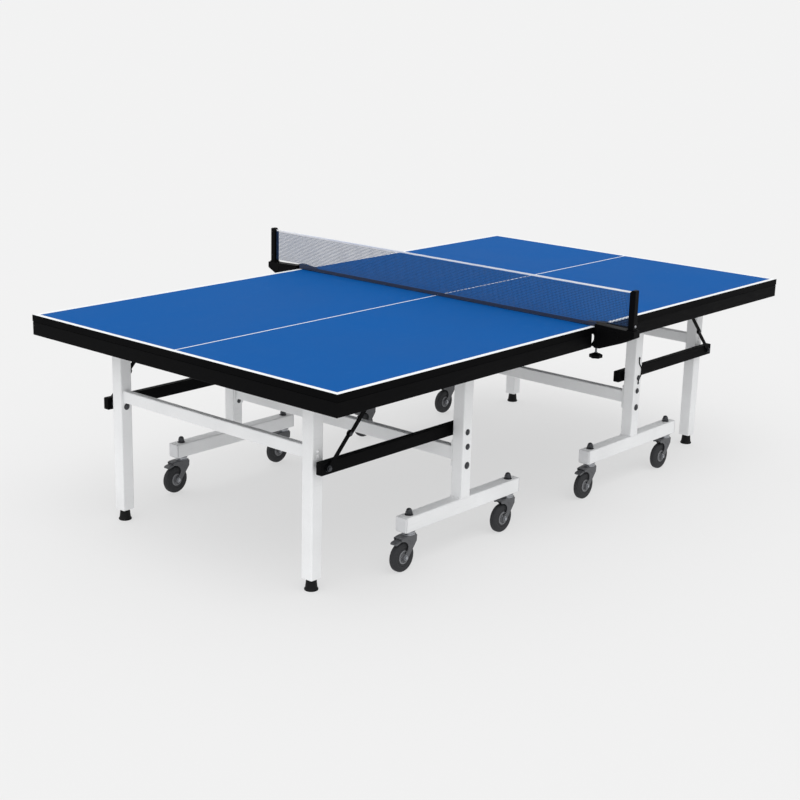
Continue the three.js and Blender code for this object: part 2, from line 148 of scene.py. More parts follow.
class Part:
    """Closed shells in millimetres, gathered into one piece."""

    def __init__(self, place=None):
        self.place = place or Matrix.Identity(4)
        self.vertices, self.faces, self.finishes = [], [], []

    def add(self, vertices, faces, finish=0):
        start = len(self.vertices)
        self.vertices += [self.place @ Vector(v) for v in vertices]
        self.faces += [[start + i for i in f] for f in faces]
        self.finishes += [finish] * len(faces)

    def loft(self, rings, finish=0, ring=False):
        """A skin through rings of equal count, capped, or closed on itself if ring."""
        n = len(rings[0])
        vertices = [p for r in rings for p in r]
        count = len(rings) if ring else len(rings) - 1
        faces = [
            (
                k * n + i,
                k * n + (i + 1) % n,
                (k + 1) % len(rings) * n + (i + 1) % n,
                (k + 1) % len(rings) * n + i,
            )
            for k in range(count)
            for i in range(n)
        ]
        if not ring:
            faces += [tuple(range(n)), tuple(range((len(rings) - 1) * n, len(rings) * n))]
        self.add(vertices, faces, finish)

    def prism(self, points, axis, low, high, edge=1.0, finish=0, steps=2):
        """An outline with thickness along an axis, and rounded edges."""
        points = [Vector(p) for p in points]
        if signed_area(points) < 0:
            points.reverse()
        turns = [math.pi / 2 * k / steps for k in range(steps + 1)]
        start = [(low + edge * (1 - math.cos(a)), edge * (1 - math.sin(a))) for a in turns]
        end = [(high - edge * (1 - math.cos(a)), edge * (1 - math.sin(a))) for a in turns]
        rings = [
            [AXES[axis](p.x, p.y, depth) for p in inset(points, shrink)]
            for depth, shrink in start + end[::-1]
        ]
        self.loft(rings, finish)

    def turned(self, profile, axis, centre, finish=0, sides=32, ring=False):
        """A profile of (radius, along) turned about a line along an axis."""
        rings = []
        for radius, along in profile:
            spots = circle(max(radius, 0.05), sides, centre[:2])
            rings.append([AXES[axis](p.x, p.y, centre[2] + along) for p in spots])
        self.loft(rings, finish, ring)

    def wire(self, path, radius, finish=0, sides=8, closed=False, radii=None):
        """A round wire along a path of points."""
        path = [Vector(p) for p in path]
        rings = []
        side = None
        for i, p in enumerate(path):
            after = path[(i + 1) % len(path)] if closed or i + 1 < len(path) else p
            before = path[i - 1] if closed or i > 0 else p
            ahead = (after - before).normalized()
            if side is None:
                side = ahead.orthogonal().normalized()
            side = (side - ahead * side.dot(ahead)).normalized()
            up = ahead.cross(side)
            r = radii[i] if radii else radius
            turns = [2 * math.pi * k / sides for k in range(sides)]
            rings.append([p + (side * math.cos(a) + up * math.sin(a)) * r for a in turns])
        self.loft(rings, finish, ring=closed)

    def made(self, name, materials, body, slot, replaces=(), at=(0, 0, 0), sharp=38):
        """The gathered shells as one mesh, in metres and with outward faces."""
        mesh = bpy.data.meshes.new(name)
        mesh.from_pydata([v * MM for v in self.vertices], [], self.faces)
        mesh.polygons.foreach_set("material_index", self.finishes)
        work = bmesh.new()
        work.from_mesh(mesh)
        bmesh.ops.recalc_face_normals(work, faces=work.faces)
        work.to_mesh(mesh)
        work.free()
        for m in materials:
            mesh.materials.append(m)
        mesh.shade_smooth()
        mesh.set_sharp_from_angle(angle=math.radians(sharp))
        return show(name, mesh, body, replaces, at)


def show(name, mesh, body, replaces=(), at=(0, 0, 0)):
    """A mesh as a piece of the table, riding on its body."""
    piece = bpy.data.objects.new(name, mesh)
    bpy.context.scene.collection.objects.link(piece)
    piece.location = Vector(at) * MM
    normals = piece.modifiers.new("normals", "WEIGHTED_NORMAL")
    normals.keep_sharp = True
    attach(piece, body)
    if replaces:
        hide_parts(*replaces)
    return piece


def mirrored(side, edge, x=0, y=0):
    """Local to table space: x outwards from the net and y outwards from the centreline."""
    return Matrix.Translation((side * x, edge * y, 0)) @ Matrix.Diagonal((side, edge, 1, 1))


# Materials --------------------------------------------------------------------------------


def colour(red, green, blue):
    """A colour given in the usual 0 to 255, as the linear colour that a shader takes."""
    values = [c / 255 for c in (red, green, blue)]
    linear = [c / 12.92 if c <= 0.04045 else ((c + 0.055) / 1.055) ** 2.4 for c in values]
    return (*linear, 1.0)


def darker(c, factor):
    """A linear colour scaled by a factor, which may also be above 1."""
    return (*[min(1.0, x * factor) for x in c[:3]], 1.0)


class Shader:
    """A principled material whose colour, roughness and relief come from noise."""

    def __init__(self, name, rough, metal=0.0, coat=0.0, specular=0.5):
        self.material = bpy.data.materials.new(name)
        self.material.use_nodes = True
        self.tree = self.material.node_tree
        self.surface = self.tree.nodes["Principled BSDF"]
        self.surface.inputs["Roughness"].default_value = rough
        self.surface.inputs["Metallic"].default_value = metal
        self.surface.inputs["Coat Weight"].default_value = coat
        self.surface.inputs["Specular IOR Level"].default_value = specular
        self.place = self.node("ShaderNodeTexCoord").outputs["Object"]

    def node(self, kind, **settings):
        made = self.tree.nodes.new(kind)
        for key, value in settings.items():
            setattr(made, key, value)
        return made

    def link(self, start, end):
        self.tree.links.new(start, end)

    def noise(self, scale, detail=3.0, stretch=(1, 1, 1), roughness=0.5):
        mapping = self.node("ShaderNodeMapping")
        mapping.inputs["Scale"].default_value = stretch
        texture = self.node("ShaderNodeTexNoise")
        texture.inputs["Scale"].default_value = scale
        texture.inputs["Detail"].default_value = detail
        texture.inputs["Roughness"].default_value = roughness
        self.link(self.place, mapping.inputs["Vector"])
        self.link(mapping.outputs["Vector"], texture.inputs["Vector"])
        return texture.outputs["Fac"]

    def ramp(self, factor, stops):
        ramp = self.node("ShaderNodeValToRGB")
        elements = ramp.color_ramp.elements
        elements[0].position, elements[0].color = stops[0]
        elements[1].position, elements[1].color = stops[-1]
        for position, c in stops[1:-1]:
            elements.new(position).color = c
        self.link(factor, ramp.inputs["Fac"])
        return ramp.outputs["Color"]

    def spread(self, factor, low, high, start=0.3, end=0.7):
        spread = self.node("ShaderNodeMapRange")
        values = {"From Min": start, "From Max": end, "To Min": low, "To Max": high}
        for key, value in values.items():
            spread.inputs[key].default_value = value
        self.link(factor, spread.inputs["Value"])
        return spread.outputs["Result"]

    def mix(self, factor, first, second):
        mix = self.node("ShaderNodeMix", data_type="RGBA")
        self.link(factor, mix.inputs["Factor"])
        for socket, value in ((mix.inputs[6], first), (mix.inputs[7], second)):
            if isinstance(value, tuple):
                socket.default_value = value
            else:
                self.link(value, socket)
        return mix.outputs[2]

    def relief(self, height, strength, distance, after=None):
        bump = self.node("ShaderNodeBump")
        bump.inputs["Strength"].default_value = strength
        bump.inputs["Distance"].default_value = distance
        self.link(height, bump.inputs["Height"])
        if after:
            self.link(after, bump.inputs["Normal"])
        self.link(bump.outputs["Normal"], self.surface.inputs["Normal"])
        return bump.outputs["Normal"]

    def finish(self, base, rough=None):
        self.link(base, self.surface.inputs["Base Color"])
        if rough:
            self.link(rough, self.surface.inputs["Roughness"])
        return self.material


def painted(name, base, rough, tint=0.05, clouds=6, grain=700, relief=0.12, **kind):
    """Paint, powder coat or moulded plastic: cloudy colour, even gloss and a fine grain."""
    s = Shader(name, rough, **kind)
    cloud = s.noise(clouds, 5)
    fine = s.noise(grain, 2)
    broad = s.ramp(cloud, [(0.3, darker(base, 1 - tint)), (0.7, darker(base, 1 + tint))])
    dust = s.spread(fine, 0.0, 0.5)
    speck = darker(base, 1 - 1.6 * tint)
    s.relief(fine, relief, 0.0004)
    return s.finish(s.mix(dust, broad, speck), s.spread(cloud, rough - 0.05, rough + 0.06))


def worn_steel(name, base, bare, rough, relief=0.2, **kind):
    """Powder coat with an orange-peel skin, faint scuffs along its length and a few chips."""
    s = Shader(name, rough, **kind)
    cloud = s.noise(5, 4)
    peel = s.noise(420, 1.5)
    scuff = s.noise(24, 6, stretch=(0.6, 5, 5), roughness=0.65)
    chips = s.spread(s.noise(60, 6, roughness=0.75), 0.0, 0.55, start=0.69, end=0.74)
    coat = s.ramp(cloud, [(0.3, darker(base, 0.95)), (0.7, darker(base, 1.04))])
    marks = s.spread(scuff, 0.0, 0.22, start=0.56, end=0.72)
    coat = s.mix(marks, coat, darker(bare, 0.9))
    skin = s.relief(peel, relief, 0.0006)
    s.relief(chips, 0.25, 0.0003, after=skin)
    return s.finish(s.mix(chips, coat, bare), s.spread(scuff, rough - 0.04, rough + 0.12))


def bare_metal(name, base, rough):
    """Plated steel with a brushed grain."""
    s = Shader(name, rough, metal=1.0)
    brushed = s.noise(160, 4, stretch=(1, 1, 9))
    cloud = s.noise(60, 3)
    s.relief(brushed, 0.08, 0.0002)
    tone = s.ramp(cloud, [(0.3, darker(base, 0.8)), (0.7, darker(base, 1.12))])
    return s.finish(tone, s.spread(brushed, rough - 0.06, rough + 0.1))


def woven(name, base, thread_mm, rough=0.85, fibre=0.3):
    """Cloth tape: over-and-under threads along both of its directions."""
    s = Shader(name, rough, specular=0.3)
    s.surface.inputs["Sheen Weight"].default_value = 0.25
    waves = []
    for direction in ("Y", "Z"):
        wave = s.node("ShaderNodeTexWave", bands_direction=direction)
        wave.inputs["Scale"].default_value = 314 / (2 * math.pi * thread_mm)
        wave.inputs["Distortion"].default_value = 0.4
        s.link(s.place, wave.inputs["Vector"])
        waves.append(wave.outputs["Fac"])
    weave = s.node("ShaderNodeMath", operation="MULTIPLY")
    s.link(waves[0], weave.inputs[0])
    s.link(waves[1], weave.inputs[1])
    fuzz = s.noise(900, 3)
    skin = s.relief(weave.outputs[0], 0.5, 0.0006)
    s.relief(fuzz, 0.2, 0.0003, after=skin)
    shade = s.ramp(weave.outputs[0], [(0.0, darker(base, 1 - fibre)), (0.8, base)])
    return s.finish(s.mix(s.spread(fuzz, 0, 0.3), shade, darker(base, 0.8)))


def playing_coat(name, base, mark):
    """Matt table paint: a rolled texture with faint pale ball marks and rubbed patches."""
    s = Shader(name, 0.75, specular=0.05)
    roll = s.noise(380, 2)
    cloud = s.noise(1.6, 5)
    balls = s.node("ShaderNodeTexVoronoi", feature="F1")
    balls.inputs["Scale"].default_value = 9
    balls.inputs["Randomness"].default_value = 1.0
    s.link(s.place, balls.inputs["Vector"])
    spot = s.spread(balls.outputs["Distance"], 0.09, 0.0, start=0.03, end=0.16)
    rub = s.spread(s.noise(14, 7, stretch=(1, 3, 1), roughness=0.7), 0, 0.1, 0.56, 0.75)
    tone = s.ramp(cloud, [(0.3, darker(base, 0.965)), (0.7, darker(base, 1.03))])
    tone = s.mix(spot, tone, mark)
    tone = s.mix(rub, tone, mark)
    s.relief(roll, 0.16, 0.0004)
    return s.finish(tone, s.spread(cloud, 0.66, 0.76))


BLUE = playing_coat("table_blue", colour(2, 84, 156), colour(52, 114, 174))
LINE = painted("line_white", colour(236, 238, 240), 0.55, tint=0.03, clouds=12, grain=500)
BAND = painted("edge_band_black", colour(4, 4, 5), 0.6, tint=0.12, grain=900, specular=0.035)
UNDERSIDE = painted("board_underside", colour(52, 56, 62), 0.7, tint=0.1, clouds=9, relief=0.2)
BLACK = worn_steel("powder_black", colour(5, 5, 6), colour(26, 26, 28), 0.55, specular=0.045)
WHITE = worn_steel("powder_white", colour(233, 234, 235), colour(222, 223, 224), 0.4)
MATT_WHITE = painted("cap_white", colour(214, 215, 217), 0.5, tint=0.05, clouds=30)
ZINC = bare_metal("zinc_plate", colour(168, 170, 174), 0.34)
DARK_BOLT = bare_metal("black_bolt", colour(74, 75, 78), 0.38)
HOUSING = painted("caster_grey", colour(80, 81, 84), 0.46, tint=0.08, clouds=30, relief=0.2)
TYRE = painted("tyre_grey", colour(34, 35, 38), 0.72, tint=0.12, clouds=40, relief=0.35)
HUB = painted("hub_grey", colour(122, 123, 126), 0.5, tint=0.08, clouds=30, relief=0.2)
RUBBER = painted(
    "foot_black", colour(12, 12, 13), 0.66, tint=0.12, clouds=40, relief=0.4, specular=0.2
)
MOULDED = painted(
    "moulded_black", colour(5, 5, 6), 0.5, tint=0.14, clouds=25, relief=0.5, specular=0.05
)
THREAD = painted("net_thread", colour(36, 70, 114), 0.9, tint=0.25, clouds=90, relief=0.3)
TAPE = woven("net_tape", colour(244, 245, 247), 1.0, fibre=0.15)
HEM = woven("net_hem", colour(28, 44, 74), 1.0)


# Boards -----------------------------------------------------------------------------------


def board(half, side):
    """A playing surface with its painted lines, black edge band and painted underside."""
    x_in, x_out, y_out = 2.5, 1370, 762.5
    top, low, soft = 760, 735, 1.2
    line, centre = 20, 3
    blue, white, black, under = range(4)
    xs = [x_in + soft, 345, 690, 1030, x_out - line, x_out - soft]
    ys = [-y_out + soft, -y_out + line, -380, -centre, centre, 380, y_out - line, y_out - soft]
    columns, rows = len(xs), len(ys)
    part = Part(mirrored(side, 1))
    vertices = [(x, y, top) for y in ys for x in xs]
    faces, finishes = [], []
    for j in range(rows - 1):
        for i in range(columns - 1):
            k = j * columns + i
            faces.append((k, k + 1, k + columns + 1, k + columns))
            painted_line = i == columns - 2 or j in (0, rows - 2) or j == rows // 2 - 1
            finishes.append(white if painted_line else blue)
    rim = list(range(columns))
    rim += [j * columns + columns - 1 for j in range(1, rows)]
    rim += [(rows - 1) * columns + i for i in range(columns - 2, -1, -1)]
    rim += [j * columns for j in range(rows - 2, 0, -1)]
    corner = (x_in + soft, -y_out + soft, x_out - soft, y_out - soft)

    def pushed(v, out):
        x = v[0] - out if v[0] <= corner[0] else v[0] + out if v[0] >= corner[2] else v[0]
        y = v[1] - out if v[1] <= corner[1] else v[1] + out if v[1] >= corner[3] else v[1]
        return x, y

    levels = [(0.85, top - 0.35), (soft, top - soft), (soft, top - 8), (soft, low + soft)]
    levels += [(0.85, low + 0.35), (0, low)]
    last = rim
    for out, z in levels:
        start = len(vertices)
        vertices += [(*pushed(vertices[i], out), z) for i in rim]
        ring = list(range(start, start + len(rim)))
        for i in range(len(rim)):
            n = (i + 1) % len(rim)
            faces.append((last[i], last[n], ring[n], ring[i]))
            finishes.append(black)
        last = ring
    faces.append(tuple(last))
    finishes.append(under)
    part.add(vertices, faces)
    part.finishes = finishes
    name = f"{half}_playing_surface"
    body = f"{half}_top"
    return part.made(name, [BLUE, LINE, BAND, UNDERSIDE], body, "playing_surface", [f"{half}_board"])


def bolt(part, axis, centre, out, radius=9, height=6, finish=1, hexagon=True):
    """A bolt head with a washer, standing out from centre along an axis, out being 1 or -1."""
    washer = [(radius * 1.25, 0), (radius * 1.25, 1.0), (radius * 1.1, 1.4)]
    part.turned([(r, out * z) for r, z in washer], axis, centre, finish, sides=24)
    base = centre[2] + out * 1.4
    if hexagon:
        low, high = sorted((base, base + out * height))
        part.prism(circle(radius * 0.95, 6, centre[:2]), axis, low, high, 0.9, finish)
        crown = [(radius * 0.62, 0), (radius * 0.56, 0.8), (radius * 0.3, 1.3)]
        spot = (*centre[:2], base + out * (height - 0.3))
        part.turned([(r, out * z) for r, z in crown], axis, spot, finish, sides=20)
        return
    dome = [math.pi / 2 * k / 6 for k in range(7)]
    profile = [(radius * math.cos(a), out * height * math.sin(a)) for a in dome]
    part.turned(profile, axis, (*centre[:2], base), finish, sides=28)


def domed_nut(part, centre, finish):
    """A cap nut on its washer, standing up from centre."""
    part.turned([(15, 0), (15, 1.6), (13.6, 2.4)], "Z", centre, finish, sides=28)
    x, y, z = centre
    part.prism(circle(12.6, 6, (x, y)), "Z", z + 2.2, z + 11.5, 1.2, finish)
    turns = [math.pi / 2 * k / 8 for k in range(9)]
    profile = [(10.8, 0), (10.8, 3)] + [(10.6 * math.cos(a), 3 + 10 * math.sin(a)) for a in turns]
    part.turned(profile, "Z", (x, y, z + 11), finish, sides=28)


def weld(part, path, radius, finish=0, seed=0):
    """A weld bead round a joint, with the ripple that a torch leaves."""
    points, radii = [], []
    path = [Vector(p) for p in path]
    for i, p in enumerate(path):
        after = path[(i + 1) % len(path)]
        steps = max(1, round((after - p).length / 2.2))
        for k in range(steps):
            spot = p.lerp(after, k / steps)
            points.append(spot)
            wave = 0.16 * math.cos(len(points) * 2.1)
            radii.append(radius * (1 + wave + 0.2 * noise.noise(spot * 0.21 + Vector((seed,) * 3))))
    part.wire(points, radius, finish, sides=8, closed=True, radii=radii)


def top_frame(half, side):
    """The rim and rails under a board, with hinge ears for the posts and legs."""
    part = Part(mirrored(side, 1))
    x_in, x_out, y_out, wall = RIM_NET_END[side], 1369, 761.5, 25
    section = rectangle((0, wall), RIM_Z, 2.6, 3)
    corners = [(x_in, -y_out), (x_out, -y_out), (x_out, y_out), (x_in, y_out)]
    inwards = [(0, 1), (-1, 1), (-1, -1), (0, -1)]
    rings = [
        [(cx + dx * p.x, cy + dy * p.x, p.y) for p in section]
        for (cx, cy), (dx, dy) in zip(corners, inwards)
    ]
    part.loft(rings)
    post_pivot, leg_pivot = POST.x - PIVOT_OFFSET, LEG.x - PIVOT_OFFSET
    rail_z = (RIM_Z[1] - RAIL_DEPTH, RIM_Z[1])
    rail_y = y_out - wall - 0.2
    for x, width in ((x_in + 12.8, 25), (post_pivot, 40), (leg_pivot, 40), (STAY_HEAD_X, 30)):
        part.prism(rectangle((x - width / 2, x + width / 2), rail_z, 2.5, 3), "Y", -rail_y, rail_y)
        for y in (-rail_y, rail_y):
            out = math.copysign(1, y)
            loop = [
                (x + sx * width / 2, y - out * 1.2, rail_z[0] if low else rail_z[1] - 2)
                for sx, low in ((-1, False), (-1, True), (1, True), (1, False))
            ]
            weld(part, loop, 1.7, seed=x + y)
        for y in (-600, -200, 200, 600):
            bolt(part, "Z", (x, y, rail_z[0]), -1, 5, 2.5, hexagon=False)
    for edge in (-1, 1):
        for pivot, y in ((post_pivot, POST.y), (leg_pivot, LEG.y)):
            ear = bar_outline((pivot, PIVOT_Z), (pivot, RIM_Z[1] - 13.2), 13)
            for inner in (-TUBE / 2 - 5, TUBE / 2 + 1):
                low = edge * y + inner
                part.prism(ear, "Y", low, low + 4, 0.6)
            for out in (-1, 1):
                centre = (pivot, PIVOT_Z, edge * y + out * (TUBE / 2 + 5))
                bolt(part, "Y", centre, out, 7, 4)
        lug = bar_outline((STAY_HEAD_X, 690), (STAY_HEAD_X, RIM_Z[1] - 11.2), 11)
        low, high = sorted((edge * (STAY_Y + 11.5), edge * (STAY_Y + 15.5)))
        part.prism(lug, "Y", low, high, 0.6)
    for sx, sy in ((0, -1), (0, 1), (1, -1), (1, 1)):
        x = x_out - wall if sx else x_in + wall
        y = sy * (y_out - wall)
        dx = -90 if sx else 90
        plate = rounded([(x, y), (x + dx, y), (x, y - sy * 90)], 4)
        part.prism(plate, "Z", RIM_Z[1] - 4, RIM_Z[1] - 0.2, 0.6)
        bolt(part, "Z", (x + dx * 0.28, y - sy * 25, RIM_Z[1] - 4), -1, 5, 2.5, hexagon=False)
    body = f"{half}_top"
    name = f"{half}_under_frame"
    return part.made(name, [BLACK, DARK_BOLT], body, "black_steel", [f"{half}_top_frame"])


# Trolleys ---------------------------------------------------------------------------------


def tube_outline(width=TUBE, depth=TUBE, corner=TUBE_CORNER):
    """The section of a post or leg about its axis."""
    return rectangle((-width / 2, width / 2), (-depth / 2, depth / 2), corner, 5)


def pivot_arm(part):
    """The welded knuckle at the head of a post or leg, towards the net, and its pin."""
    half = TUBE / 2 - 0.5
    arm = bar_outline((-PIVOT_OFFSET, PIVOT_Z), (0, PIVOT_Z), 15)
    part.prism(arm, "Y", -half, half, 2)
    pin = [(5.5, -31), (5.5, 31)]
    part.turned(pin, "Y", (-PIVOT_OFFSET, PIVOT_Z, 0), 1, sides=20)


def t_frame(half, side, row, edge):
    """A post welded to its base tube, with end caps, link pin, bolts and caster nuts."""
    part = Part(mirrored(side, edge, *POST))
    low, high = BASE_Z
    part.prism(tube_outline(), "Z", high - 3, TUBE_TOP, 1.0)
    base = rectangle((-TUBE / 2, TUBE / 2), BASE_Z, TUBE_CORNER, 5)
    part.prism(base, "X", -BASE_HALF + 7, BASE_HALF - 7, 1.0)
    for out in (-1, 1):
        cap = rectangle((-TUBE / 2 + 0.4, TUBE / 2 - 0.4), (low + 0.4, high - 0.4), 5, 5)
        start, end = sorted((out * (BASE_HALF - 7.5), out * BASE_HALF))
        part.prism(cap, "X", start, end, 4.5, finish=2, steps=4)
        domed_nut(part, (out * CASTER_SPREAD, 0, high), 1)
        stem = [(8, -11), (8, -2), (15, -2), (15, 0)]
        part.turned(stem, "Z", (out * CASTER_SPREAD, 0, low), 3, sides=24)
    reach = TUBE / 2 + 0.3
    corners = [Vector((p.x, p.y, high + 0.4)) for p in tube_outline(2 * reach, 2 * reach, 5)]
    weld(part, corners, 2.4, seed=side + 3 * edge)
    pivot_arm(part)
    collar = [(11, 0), (11, -9.4)]
    part.turned(collar, "Y", (0, LINK_Z, -TUBE / 2 + 0.5), 3, sides=28)
    pin = [(6, -34), (6, -61)]
    part.turned(pin, "Y", (0, LINK_Z, 0), 3, sides=20)
    bolt(part, "Y", (0, LINK_Z, LINK_Y[0] - POST.y - 0.6), -1, 8, 5)
    bolt(part, "Y", (3, LINK_Z, TUBE / 2), 1, 9, 5, hexagon=False)
    for z, size in zip(CROSSBAR_BOLTS, (10.5, 9)):
        bolt(part, "Y", (0, z, TUBE / 2), 1, size, 5, hexagon=False)
    body = f"{half}_trolley"
    finishes = [WHITE, DARK_BOLT, MATT_WHITE, ZINC]
    name = f"{half}_{row}_post"
    return part.made(name, finishes, body, "white_steel", [f"{half}_{row}_t_frame"])


def post_crossbar(half, side):
    """The bar between two posts, welded to the flanges that bolt on them."""
    part = Part(mirrored(side, 1, POST.x, 0))
    end = POST.y - TUBE / 2 - 0.4
    bar = rectangle((-15, 15), POST_BAR_Z, 4, 4)
    part.prism(bar, "Y", -end + 5, end - 5, 0.8)
    flange = rectangle((-22, 22), (307, 403), 6, 5)
    for out in (-1, 1):
        low, high = sorted((out * end, out * (end - 6)))
        part.prism(flange, "Y", low, high, 0.9)
        loop = [Vector((p.x, out * (end - 6.3), p.y)) for p in bar]
        weld(part, loop, 2.0, seed=out)
        for z in (318, 392):
            bolt(part, "Y", (0, z, out * (end - 6)), -out, 7.5, 1.8, hexagon=False)
    body = f"{half}_trolley"
    name = f"{half}_post_brace"
    return part.made(name, [WHITE, DARK_BOLT], body, "white_steel", [f"{half}_post_crossbar"])


def spline(a, b, c, d, t):
    """A point on the smooth curve from b to c, with a before and d after."""
    return 0.5 * (
        2 * b + (c - a) * t + (2 * a - 5 * b + 4 * c - d) * t**2 + (3 * b - a - 3 * c + d) * t**3
    )


def spring_clip():
    """The black wire catch on the outer face of the near right post."""
    part = Part(mirrored(1, -1, *POST))
    face = TUBE / 2 + 1.8
    shape = [(2, 521), (0, 512), (1, 503), (7, 493), (15, 484), (20, 474), (20, 462)]
    shape += [(18, 450), (12, 441), (5, 434), (2, 426), (3, 418)]
    path = [Vector((x, face, z)) for x, z in shape]
    smooth = []
    for i in range(len(path) - 1):
        before, after = path[max(i - 1, 0)], path[min(i + 2, len(path) - 1)]
        for k in range(4):
            smooth.append(spline(before, path[i], path[i + 1], after, k / 4))
    smooth.append(path[-1])
    part.wire(smooth, 2.3, sides=10)
    for x, z in (shape[0], shape[-1]):
        bolt(part, "Y", (x, z, TUBE / 2), 1, 4.5, 3, finish=1, hexagon=False)
    return part.made("near_right_spring_clip", [BLACK, DARK_BOLT], "right_trolley", "black_steel")


# Legs -------------------------------------------------------------------------------------


def leg(half, side, row, edge):
    """A square leg with its knuckle, link pin and the plastic insert at its foot."""
    part = Part(mirrored(side, edge, *LEG))
    part.prism(tube_outline(), "Z", 42.2, TUBE_TOP, 1.0)
    insert = [Vector((p.x, p.y)) for p in tube_outline(TUBE - 7, TUBE - 7, 4)]
    hole = circle(14, len(insert))
    start = min(range(len(hole)), key=lambda i: (hole[i] - insert[0]).length)
    hole = [hole[(start + i) % len(hole)] for i in range(len(hole))]
    levels = [(insert, 44), (insert, 42.4), (inset(insert, 0.8), 41.8), (hole, 41.8), (hole, 44)]
    part.loft([[Vector((p.x, p.y, z)) for p in ring] for ring, z in levels], 4, ring=True)
    pivot_arm(part)
    collar = [(11, 0), (11, LINK_Y[0] - LEG.y - TUBE / 2 - 0.4)]
    part.turned(collar, "Y", (0, LINK_Z, TUBE / 2), 3, sides=28)
    pin = [(6, 40), (6, STAY_Y + 4.6 - LEG.y)]
    part.turned(pin, "Y", (0, LINK_Z, 0), 3, sides=20)
    bolt(part, "Y", (0, LINK_Z, STAY_Y + 4.4 - LEG.y), 1, 8, 5)
    bolt(part, "Y", (0, LINK_Z, -TUBE / 2), -1, 10, 6, hexagon=False)
    for z in (469, 487):
        bolt(part, "Y", (0, z, TUBE / 2), 1, 5.5, 2.6, finish=0, hexagon=False)
    body = f"{half}_legs"
    finishes = [WHITE, DARK_BOLT, MATT_WHITE, ZINC, RUBBER]
    name = f"{half}_{row}_leg_tube"
    return part.made(name, finishes, body, "white_steel", [f"{half}_{row}_leg"])


def leg_crossbar(half, side):
    """The bar between two legs, with a weld bead at each end."""
    part = Part(mirrored(side, 1, LEG.x, 0))
    end = LEG.y - TUBE / 2 - 0.2
    section = rectangle((-12.5, 12.5), LEG_BAR_Z, 4, 4)
    part.prism(section, "Y", -end, end, 0.4)
    for out in (-1, 1):
        loop = [Vector((p.x, out * (end - 1), p.y)) for p in section]
        weld(part, loop, 1.9, seed=2 * out)
    body = f"{half}_legs"
    name = f"{half}_leg_brace"
    return part.made(name, [WHITE], body, "white_steel", [f"{half}_leg_crossbar"])


def foot_mesh():
    """A levelling foot: a flared rubber cup, a lock nut and a threaded stem."""
    part = Part()
    cup = [(20, 0), (23, 0.6), (24, 2), (24, 5), (23.2, 6.4), (21.6, 8), (20.6, 12), (19.6, 20)]
    cup += [(18.6, 29), (18.2, 34), (17.4, 36), (15, 37)]
    part.turned(cup, "Z", (0, 0, 0), 0, sides=40)
    part.prism(circle(12.5, 6), "Z", 36.5, 41.2, 0.8, 1)
    thread = []
    for k in range(18):
        z = 41 + 2 * k
        thread += [(4.4, z), (5.0, z + 0.7), (5.0, z + 1.2)]
    part.turned(thread, "Z", (0, 0, 0), 2, sides=20)
    return part


# Fold linkage -----------------------------------------------------------------------------


def link_bar(half, side, row, edge):
    """The black bar from a post to a leg, with a bushing at each pin."""
    part = Part(mirrored(side, edge))
    section = rectangle((495, 1220), (LINK_Z - 22, LINK_Z + 22), 3.5, 4)
    part.prism(section, "Y", *LINK_Y, 2.2, steps=3)
    for x in (POST.x, LEG.x):
        part.turned([(13, 0), (13, -0.8), (11.5, -1.2)], "Y", (x, LINK_Z, LINK_Y[0] + 0.6), 1, sides=28)
        part.turned([(13, 0), (13, 0.6)], "Y", (x, LINK_Z, LINK_Y[1] - 0.3), 1, sides=28)
    body = f"{half}_links"
    name = f"{half}_{row}_link"
    return part.made(name, [BLACK, DARK_BOLT], body, "black_steel", [f"{half}_{row}_link_bar"])


STAY_FOOT = Vector((LEG.x, LINK_Z))
STAY_ELBOW = Vector((1095.8, 538.1))
STAY_HEAD = Vector((STAY_HEAD_X, 690))


def lower_stay(half, side, row, edge):
    """The lower half of a stay, from the leg's link pin to the elbow."""
    part = Part(mirrored(side, edge))
    part.prism(bar_outline(STAY_FOOT, STAY_ELBOW, 8), "Y", STAY_Y + 0.2, STAY_Y + 4, 0.7)
    collar = [(6.4, 0), (12, 0), (12, 3.6), (11, 4.4), (6.4, 4.4)]
    part.turned(collar, "Y", (*STAY_FOOT, STAY_Y), 0, sides=28, ring=True)
    washer = [(12, 0.1), (12, 4), (11, 4.6)]
    part.turned(washer, "Y", (*STAY_ELBOW, STAY_Y), 0, sides=28)
    body = f"{half}_lower_stays"
    name = f"{half}_{row}_stay_lower"
    return part.made(name, [BLACK, DARK_BOLT], body, "black_steel", [f"{half}_{row}_lower_stay"])


def upper_stay(half, side, row, edge):
    """The upper half of a stay, from the elbow to its lug under the top."""
    part = Part(mirrored(side, edge))
    part.prism(bar_outline(STAY_ELBOW, STAY_HEAD, 8), "Y", STAY_Y + 6, STAY_Y + 10, 0.7)
    part.turned([(7, 4.9), (7, 6.4)], "Y", (*STAY_ELBOW, STAY_Y), 1, sides=24)
    bolt(part, "Y", (*STAY_ELBOW, STAY_Y + 9.8), 1, 6, 3.4, hexagon=False)
    part.turned([(4, 9), (4, 17)], "Y", (*STAY_HEAD, STAY_Y), 1, sides=20)
    bolt(part, "Y", (*STAY_HEAD, STAY_Y + 15.4), 1, 6, 3, hexagon=False)
    body = f"{half}_upper_stays"
    name = f"{half}_{row}_stay_upper"
    return part.made(name, [BLACK, DARK_BOLT], body, "black_steel", [f"{half}_{row}_upper_stay"])


# Casters ----------------------------------------------------------------------------------


